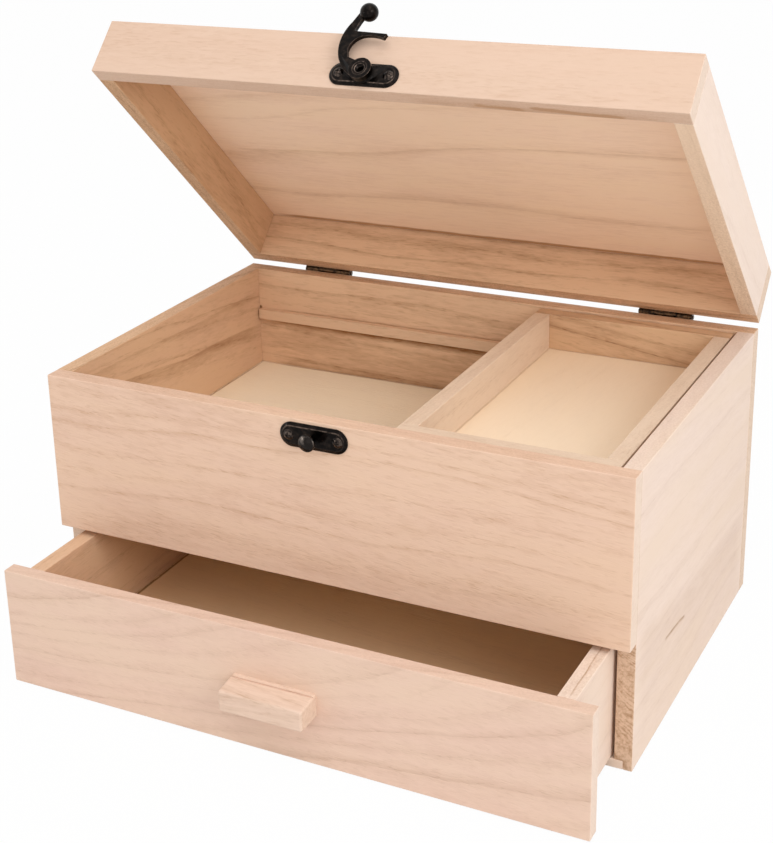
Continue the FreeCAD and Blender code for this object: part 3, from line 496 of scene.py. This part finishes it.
# Single marks in the wood, and painted shade: dark lines along the seams where the floors meet the walls and where the
# lid's top meets its back board, and on the back wall a shadow under the ledge, a dark line at its top, darkening lower
# down and towards the floor, and at the ledge's end. In millimetres from the board's middle: the axis that the mark
# runs along, the axis it is measured on, its points, how far it fades on the far and the near side, and how dark it is.
# The axes are 0 along the grain, 1 through the thickness of an upright board and 2 up it.
boardMarksAndShade = {
    "left_side_panel": [
        (0, 2, [(-91, 56), (-46, 52.5), (-18, 49), (-1, 46), (12, 44.4), (35, 43.6), (60, 42), (92, 39)],
         0.8, 9.0, 0.52),
        (0, 2, [(-91, 66), (-30, 64), (20, 61), (92, 60)], 0.8, 6.0, 0.28)],
    # painted shade: a shadow under the ledge, a dark line at its top, the lower wall darker and darker towards the
    # floor, and a dark spot at the ledge's left end
    "back_panel": [
        (0, 2, [(-142, 43.6), (142, 43.6)], 0.3, 5.5, 0.95),
        (0, 2, [(-142, 49.6), (142, 49.6)], 1.2, 0.3, 0.60),
        (0, 2, [(-142, 29.5), (142, 29.5)], 18.0, 16.0, 0.30),
        (0, 2, [(-142, 15.5), (142, 15.5)], 7.0, 1.0, 0.50),
        (2, 0, [(43.6, -141.0), (51.1, -141.0)], 1.4, 0.8, 1.6)],
    "right_side_panel": [
        (0, 2, [(-48, -29.6), (-36, -30.4), (-24, -31.8), (-15, -33.4)], 0.9, 1.5, 0.75),
        (0, 2, [(-92, -10), (-60, -16), (0, -26), (92, -31)], 9.0, 60.0, 0.15)],
    # painted shade along the joint with the lid's back board
    "lid_top_panel": [(0, 1, [(-142, 90.9), (142, 90.9)], 0.8, 2.8, 2.2)],
    "lid_front_board": [
        (0, 1, [(78, 0.9), (90, 1.8), (100, 2.8), (109, 3.4), (122, 3.9)], 1.0, 2.3, 1.5),
        (0, 1, [(52, 1.4), (64, 2.4), (76, 3.4)], 1.2, 2.4, 0.9),
        (0, 1, [(20, 2.4), (80, 3.2), (140, 3.0)], 1.0, 4.0, 0.4)],
    # painted shade along the floor's joints with the back and left walls
    "compartment_floor": [
        (0, 1, [(-145, 91.2), (145, 91.2)], 0.5, 0.9, 1.1),
        (1, 0, [(-95, -141.1), (95, -141.1)], 0.9, 0.5, 1.3)],
    # painted shade along the tray floor's joints with its walls
    "tray_floor": [
        (0, 1, [(-84, 44.1), (84, 44.1)], 0.3, 0.6, 0.6),
        (1, 0, [(-45, 82.6), (45, 82.6)], 0.3, 0.6, 0.8)],
    "drawer_right_side": [(0, 1, [(-92, -0.8), (-70, -0.5), (-40, 0.2), (-10, 0.4)], 0.4, 0.7, 0.6)],
    # painted shade along the drawer bottom's joints with its sides
    "drawer_bottom": [
        (1, 0, [(-90, -130.9), (88, -130.9)], 1.2, 0.8, 1.8),
        (0, 1, [(-132, 86.6), (132, 86.6)], 0.5, 1.0, 1.3)],
}
markValues = {
    "noise": ((70.0, 260.0, 260.0), 3.0, 0.6),
    "waver": 0.001,        # how far the noise moves a mark from its line, in metres
    "margin": 0.001,       # metres under the lowest point, where the curve of heights starts
    "endFade": 0.08,       # the share of a mark's length over which each end fades
    "leastDark": 0.35,
    "noiseDark": 1.2,
}
woodValues = {
    "across": (0.6, 0.9),  # how squarely a face cuts the grain where end grain starts, and where it is full
    "other": (0.5, 0.9),   # the same for the face with the second look
    "rim": (0.8, 0.95),    # and for the rims with saw marks
    "sawn": ((900.0, 1100.0, 1100.0), 2.0, 0.6),
    "sawnContrast": 2.2,
    "sawnLevel": -0.70,
    "apart": 0.73,         # metres along the grain between one board's pattern and the next
    "bump": 0.4,
    "bumpDistance": 0.0003,
    "specular": 0.25,
}


# The share of a mark at a place: 1 on its line, fading to 0 over the far and near distances and at both ends, times
# the dark of the mark and of the noise
def markShare(tree, axes, wiggle, mark, v):
    runs, measured, points, far, near, dark = mark
    start, end = points[0][0] / 1000, points[-1][0] / 1000
    heights = [h / 1000 for _, h in points]
    low = min(heights) - v["margin"]
    tall = max(heights) - low
    part = mathNode(tree, "MULTIPLY_ADD", axes[runs], 1 / (end - start), -start / (end - start))
    stops = [((u / 1000 - start) / (end - start), (h - low) / tall) for (u, _), h in zip(points, heights)]
    line = mathNode(tree, "MULTIPLY_ADD", curveNode(tree, part, stops), tall, low)
    gap = mathNode(tree, "SUBTRACT", axes[measured], line)
    gap = mathNode(tree, "MULTIPLY_ADD", wiggle, v["waver"], mathNode(tree, "SUBTRACT", gap, v["waver"] / 2))
    wide = (far + near) / 1000
    fade = curveNode(tree, mathNode(tree, "MULTIPLY_ADD", gap, 1 / wide, near / (far + near)),
                     [(0.0, 0.0), (near / (far + near), 1.0), (1.0, 0.0)])
    ends = curveNode(tree, part, [(0.0, 0.0), (v["endFade"], 1.0), (1 - v["endFade"], 1.0), (1.0, 0.0)])
    uneven = mathNode(tree, "MULTIPLY_ADD", wiggle, v["noiseDark"], v["leastDark"])
    return mathNode(tree, "MULTIPLY", mathNode(tree, "MULTIPLY", fade, ends), mathNode(tree, "MULTIPLY", uneven, dark))


# A board's wood. Object coordinates, turned and centred on the board, give places on it, and turned and moved once more
# they give places from its pith line. The dot product of the normal and an axis says which face it is.
def woodMaterial(node, values, v):
    grain, pith, slope, dive, ringWidth, wander, look = values
    *colours, strengths = woodLooks[look]
    material = bpy.data.materials.new(node + "Wood")
    material.use_nodes = True
    tree = material.node_tree
    shader = tree.nodes["Principled BSDF"]
    coordinates = tree.nodes.new("ShaderNodeTexCoord")
    normal = coordinates.outputs["Normal"]
    turn = Matrix.Identity(3)
    for axis, angle in zip("XYZ", grainTurns[grain]):
        turn = Matrix.Rotation(angle, 3, axis) @ turn
    corners = np.array([corner.co for corner in nodes[node].data.vertices]) @ np.array(turn).T
    middle = (corners.min(0) + corners.max(0)) / 2
    board = tree.nodes.new("ShaderNodeMapping")   # places from the board's middle, the grain along X
    board.inputs["Rotation"].default_value = grainTurns[grain]
    board.inputs["Location"].default_value = tuple(-middle)
    place = tree.nodes.new("ShaderNodeMapping")   # places from the pith line
    place.inputs["Rotation"].default_value = (0.0, math.radians(slope), math.radians(dive))
    offset = v["apart"] * list(boardValues).index(node)
    place.inputs["Location"].default_value = (offset, -pith[0] / 1000, -pith[1] / 1000)
    rings = tree.nodes.new("ShaderNodeGroup")
    rings.node_tree = grainGroup
    rings.inputs["Ring Width"].default_value = ringWidth
    rings.inputs["Wander"].default_value = wander
    colour = tree.nodes.new("ShaderNodeGroup")
    colour.node_tree = colourGroup
    for title, amount in zip(strengthNames, strengths):
        colour.inputs[title + " Strength"].default_value = amount
    parts = tree.nodes.new("ShaderNodeSeparateXYZ")
    tree.links.new(board.outputs[0], parts.inputs[0])
    squarely = mathNode(tree, "ABSOLUTE", vectorNode(tree, "DOT_PRODUCT", normal, turn[0]))
    cut = rise(tree, squarely, *v["across"])
    tones = {title: (*tone, 1) for title, tone in zip(("Pale", "Blush", "Late", "End"), colours)}
    firstFace = 1.0
    if node in otherFaces:
        axis, otherLook = otherFaces[node]
        other = rise(tree, vectorNode(tree, "DOT_PRODUCT", normal, turn[axis]), *v["other"])
        for title, second in zip(("Pale", "Blush", "Late"), woodLooks[otherLook]):
            tones[title] = mixColour(tree, other, tones[title], (*second, 1))
        firstFace = mathNode(tree, "SUBTRACT", 1.0, other)
    if node in sawnRims:
        upright = mathNode(tree, "ABSOLUTE", vectorNode(tree, "DOT_PRODUCT", normal, turn[2]))
        rim = rise(tree, upright, *v["rim"])
        specks = drawnNoise(tree, board.outputs[0], *v["sawn"])["Fac"]
        specks = mathNode(tree, "MULTIPLY_ADD", specks, v["sawnContrast"], v["sawnLevel"])
        start, end = sawnRims[node]
        half = float(corners[:, 0].max() - corners[:, 0].min()) / 2
        strength = mathNode(tree, "MULTIPLY_ADD", parts.outputs[0], (end - start) / 2 / half, (start + end) / 2)
        specks = mathNode(tree, "MULTIPLY", mathNode(tree, "MULTIPLY", specks, rim), strength)
        tree.links.new(specks, colour.inputs["Sawn"])
        if node in rimTones:
            for title in ("Pale", "Blush"):
                tones[title] = mixColour(tree, rim, tones[title], (*rimTones[node], 1))
    # grain marks, and painted shade along seams and under the ledge
    if node in boardMarksAndShade:
        wiggle = drawnNoise(tree, board.outputs[0], *markValues["noise"])["Fac"]
        total = 0.0
        for mark in boardMarksAndShade[node]:
            total = mathNode(tree, "ADD", markShare(tree, parts.outputs, wiggle, mark, markValues), total)
        total = mathNode(tree, "MULTIPLY", total, firstFace)   # the marks are on the first face alone
        tree.links.new(total, colour.inputs["Marks And Painted Shade"])
    fillSockets(tree, [colour.inputs[title] for title in tones], tones.values())
    linkNodes(tree, [
        (coordinates.outputs["Object"], board.inputs["Vector"]),
        (board.outputs[0], place.inputs["Vector"]),
        (place.outputs[0], rings.inputs["Grain Place"]),
        (cut, colour.inputs["Cut Across"]),
        *[(rings.outputs[title], colour.inputs[title]) for title in ringNames],
        (colour.outputs["Colour"], shader.inputs["Base Color"]),
        (colour.outputs["Roughness"], shader.inputs["Roughness"]),
        (bumpNode(tree, colour.outputs["Height"], v["bump"], v["bumpDistance"]), shader.inputs["Normal"])])
    shader.inputs["Specular IOR Level"].default_value = v["specular"]
    return material


meshValues = {"merge": 2e-6, "flat": 0.5}   # metres between points that are one, degrees between faces that are one


# A copy of the node's own mesh, its loose triangles merged and joined into whole faces, with weight 1 on each edge
# between two faces that chosen(edge) picks
def weighedMesh(node, chosen, smooth):
    mesh = nodes[node].data.copy()
    mesh.materials.clear()
    shape = bmesh.new()
    shape.from_mesh(mesh)
    bmesh.ops.remove_doubles(shape, verts=shape.verts, dist=meshValues["merge"])
    bmesh.ops.dissolve_limit(shape, angle_limit=math.radians(meshValues["flat"]), verts=shape.verts, edges=shape.edges)
    weight = shape.edges.layers.float.new("bevel_weight_edge")
    for edge in shape.edges:
        if len(edge.link_faces) == 2 and chosen(edge):
            edge[weight] = 1.0
    for face in shape.faces:
        face.smooth = smooth
    shape.to_mesh(mesh)
    shape.free()
    mesh.validate()
    return mesh


def beveledPiece(name, mesh, title, width, segments):   # the mesh as an object, its weighed edges rounded to the width
    piece = bpy.data.objects.new(name, mesh)
    bpy.context.scene.collection.objects.link(piece)
    bevel = piece.modifiers.new(title, "BEVEL")
    bevel.limit_method = "WEIGHT"
    bevel.width = width
    bevel.segments = segments
    return piece, bevel


easeValues = {"width": 0.00045, "pullWidth": 0.0009, "segments": 3, "shortest": 0.0025, "angle": 20}


def easedBoard(node, width, v):   # a board whose edges that are long and sharper than the angle are rounded
    def isLongEdge(edge):
        return edge.calc_length() > v["shortest"] and edge.calc_face_angle() > math.radians(v["angle"])

    mesh = weighedMesh(node, isLongEdge, False)
    board, bevel = beveledPiece(node + "_eased", mesh, "easedEdges", width, v["segments"])
    bevel.use_clamp_overlap = False
    bevel.miter_outer = "MITER_ARC"
    mesh.materials.append(woodMaterial(node, boardValues[node], woodValues))
    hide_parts(node)
    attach(board, nodes[node]["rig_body"])


for name in boardValues:
    easedBoard(name, easeValues["pullWidth" if name == "drawer_pull" else "width"], easeValues)
print("boards made:", len(boardValues))

bronzeLooks = {   # skin, metal, patch scale, share of bare metal, roughness, coat
    "darkBronze": ((0.0055, 0.0042, 0.0037), (0.026, 0.018, 0.014), 420.0, 0.40, 0.40, 0.1),
    "rimBronze": ((0.0200, 0.0135, 0.0105), (0.150, 0.108, 0.086), 520.0, 0.90, 0.26, 0.1),
    # the stud's bright metal shows through patches and as painted highlights on its head
    "studBronze": ((0.0150, 0.0118, 0.0100), (0.260, 0.215, 0.185), 300.0, 0.50, 0.26, 0.15),
    "screwBronze": ((0.0160, 0.0120, 0.0105), (0.110, 0.082, 0.066), 600.0, 0.60, 0.24, 0.1),
    "hingeBronze": ((0.0100, 0.0060, 0.0040), (0.130, 0.070, 0.034), 700.0, 0.80, 0.34, 0.1),
}
bronzeValues = {
    "patches": (4.0, 0.65),     # the patches' detail and roughness
    "patchStart": 0.55,         # their height where metal starts to show and where it is all metal, with no share
    "patchFull": 0.80,
    "shareStep": 0.2,           # how far the share lowers both
    "patchRough": -0.15,
    "grit": (2600.0, 2.0),      # the grit's scale and detail
    "bump": 0.15,
    "bumpDistance": 0.0001,
    "coatRough": 0.12,
}
roundValues = {   # how far the rims are rounded, in metres
    "swing_hook": 0.00055,
    "hook_rivet": 0.00020,
    "hook_plate": 0.00034,
    "catch_plate": 0.00034,
}
rimValues = {"segments": 4, "angles": (35, 180), "plateAngles": (20, 35), "smoothAngle": 30}   # angles in degrees
paintedHighlightParts = {   # where a piece gets a painted highlight, metal showing on the faces turned one way: the way that its surface faces there, and where it starts and is full
    # the plates' rims: a painted highlight on the lower rim of the hook plate and the upper rim of the catch plate
    "hook_plate": [((0.0, -math.sin(lidOpen), -math.cos(lidOpen)), 0.03, 0.20)],
    "catch_plate": [((0.0, 0.0, 1.0), 0.03, 0.20)],
    # the stud: a painted highlight at the upper left of its head and a painted highlight line along its right edge
    "catch_stud": [((-0.16, -0.95, 0.26), 0.955, 0.997), ((0.78, -0.62, 0.08), 0.90, 0.97)],
}


# Dark bronze: a nearly black skin that lets a browner metal through where cloudy noise is high and, with the ways
# given, only where the dot product of the normal and a way is high: a painted highlight on the faces turned that way
def bronzeMaterial(name, look, v, paintedHighlightWhere=()):
    skin, metal, patchScale, share, roughness, coat = look
    material = bpy.data.materials.new(name)
    material.use_nodes = True
    tree = material.node_tree
    shader = tree.nodes["Principled BSDF"]
    coordinates = tree.nodes.new("ShaderNodeTexCoord")
    patches = noiseNode(tree, coordinates.outputs["Object"], patchScale, *v["patches"])["Fac"]
    lower = share * v["shareStep"]
    mask = rise(tree, patches, v["patchStart"] - lower, v["patchFull"] - lower)
    colour = mixColour(tree, mask, (*skin, 1.0), (*metal, 1.0))
    if paintedHighlightWhere:
        # the painted highlight: metal shows only on faces turned towards a way
        bare = 0.0
        for way, start, full in paintedHighlightWhere:
            facing = vectorNode(tree, "DOT_PRODUCT", coordinates.outputs["Normal"], way)
            bare = mathNode(tree, "MAXIMUM", rise(tree, facing, start, full), bare)
        colour = mixColour(tree, bare, (*skin, 1.0), colour)
    rough = mathNode(tree, "MULTIPLY_ADD", patches, v["patchRough"], roughness - v["patchRough"] / 2)
    grit = noiseNode(tree, coordinates.outputs["Object"], *v["grit"])["Fac"]
    linkNodes(tree, [
        (colour, shader.inputs["Base Color"]),
        (rough, shader.inputs["Roughness"]),
        (bumpNode(tree, grit, v["bump"], v["bumpDistance"]), shader.inputs["Normal"])])
    shader.inputs["Metallic"].default_value = 1.0
    shader.inputs["Coat Weight"].default_value = coat
    shader.inputs["Coat Roughness"].default_value = v["coatRough"]
    return material


# A metal piece whose outward edges within the angles are rounded, on a plate only its inner rim, where the slope meets
# the face, which there is lighter only where it faces one way: a painted highlight
def roundedMetal(node, width, v):
    isPlate = node in paintedHighlightParts
    least, most = v["plateAngles"] if isPlate else v["angles"]

    def isRim(edge):
        return edge.is_convex and least < math.degrees(edge.calc_face_angle()) < most

    mesh = weighedMesh(node, isRim, True)
    mesh.set_sharp_from_angle(angle=math.radians(v["smoothAngle"]))
    piece, bevel = beveledPiece(node + "_rounded", mesh, "roundedRims", width, v["segments"])
    bevel.use_clamp_overlap = not isPlate
    bevel.harden_normals = True
    bevel.material = 1   # the rim's material, which is the second
    mesh.materials.append(bronzes["darkBronze"])
    if isPlate:
        # the plate's rim: lighter metal only where it faces one way, a painted highlight
        mesh.materials.append(bronzeMaterial(node + "PaintedRimHighlight", bronzeLooks["rimBronze"], bronzeValues, paintedHighlightParts[node]))
    else:
        mesh.materials.append(bronzes["rimBronze"])
    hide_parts(node)
    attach(piece, nodes[node]["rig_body"])


bronzes = {name: bronzeMaterial(name, look, bronzeValues) for name, look in bronzeLooks.items() if name != "studBronze"}
for name, piece in nodes.items():
    if name in boardValues or name in roundValues:
        continue
    if name == "catch_stud":
        # the stud's lighter spots are painted highlights
        finish = bronzeMaterial("paintedGlintStud", bronzeLooks["studBronze"], bronzeValues, paintedHighlightParts[name])
    else:
        finish = bronzes["hingeBronze" if "hinge" in name else "screwBronze"]
    piece.data.materials.clear()
    piece.data.materials.append(finish)
for name, width in roundValues.items():
    roundedMetal(name, width, rimValues)
print("metal pieces finished")
